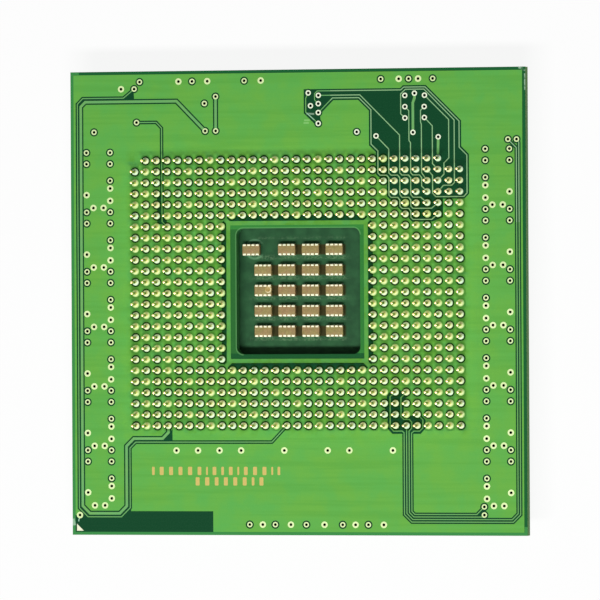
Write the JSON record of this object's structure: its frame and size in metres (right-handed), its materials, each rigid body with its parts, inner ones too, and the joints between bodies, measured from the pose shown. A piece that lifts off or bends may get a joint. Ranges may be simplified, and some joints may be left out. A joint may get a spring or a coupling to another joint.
{
  "type": "pin grid array processor",
  "caption": "Square processor on a green interposer board: a pin field round a central window with chip capacitors on the pin side, a flat metal heat spreader on the other.",
  "frame": {"origin": "under the middle of the board, on the heat spreader's outer face", "axes": "+Z along the pins, away from the heat spreader; +X and +Y along the board's edges, the printed corner triangle at -X -Y"},
  "size_m": [0.0534, 0.0534, 0.0076],
  "materials": {
    "board_mask": "green solder mask over bare laminate, semi-gloss",
    "masked_copper": "green solder mask over copper, semi-gloss",
    "tinned_copper": "plated copper, pale",
    "white_print": "white ink, matte",
    "gold_pins": "pale gold plating, satin",
    "solder": "tin solder, satin",
    "substrate_mask": "dark green solder mask, satin",
    "ceramic": "brown-grey ceramic, matte",
    "terminal_metal": "tin plate, satin",
    "silicon": "polished silicon",
    "resin": "dark underfill resin",
    "thermal_paste": "grey filled polymer",
    "nickel_plate": "nickel-plated copper, satin",
    "sealant": "black adhesive",
    "chip_resin": "black moulding resin, matte"
  },
  "bodies": {
    "root": {"interposer_board": "board_mask", "ground_plane": "masked_copper", "guard_ring": "masked_copper", "signal_traces": "masked_copper", "via_rings": "tinned_copper", "pin_one_mark": "white_print", "pin_row_01": "gold_pins", "pin_row_02": "gold_pins", "pin_row_03": "gold_pins", "pin_row_04": "gold_pins", "pin_row_05": "gold_pins", "pin_row_06": "gold_pins", "pin_row_07": "gold_pins", "pin_row_08": "gold_pins", "pin_row_09": "gold_pins", "pin_row_10": "gold_pins", "pin_row_11": "gold_pins", "pin_row_12": "gold_pins", "pin_row_13": "gold_pins", "pin_row_14": "gold_pins", "pin_row_15": "gold_pins", "pin_row_16": "gold_pins", "pin_row_17": "gold_pins", "pin_row_18": "gold_pins", "pin_row_19": "gold_pins", "pin_row_20": "gold_pins", "pin_row_21": "gold_pins", "pin_row_22": "gold_pins", "pin_row_23": "gold_pins", "pin_row_24": "gold_pins", "pin_row_25": "gold_pins", "pin_solder_north": "solder", "pin_solder_south": "solder", "pin_solder_west": "solder", "pin_solder_east": "solder", "package_substrate": "substrate_mask", "solder_balls_north": "solder", "solder_balls_south": "solder", "solder_balls_west": "solder", "solder_balls_east": "solder", "die": "silicon", "die_underfill": "resin", "thermal_interface": "thermal_paste", "heat_spreader": "nickel_plate", "lid_sealant": "sealant", "cavity_capacitors_row_1": "ceramic", "cavity_capacitors_row_2": "ceramic", "cavity_capacitors_row_3": "ceramic", "cavity_capacitors_row_4": "ceramic", "cavity_capacitors_row_5": "ceramic", "cavity_capacitor_terminals": "terminal_metal", "edge_capacitors_left": "ceramic", "edge_capacitors_right": "ceramic", "edge_capacitor_terminals": "terminal_metal", "memory_chip": "chip_resin", "memory_chip_leads": "terminal_metal", "sensor_chip": "chip_resin", "sensor_chip_leads": "terminal_metal"}
  },
  "joints": []
}
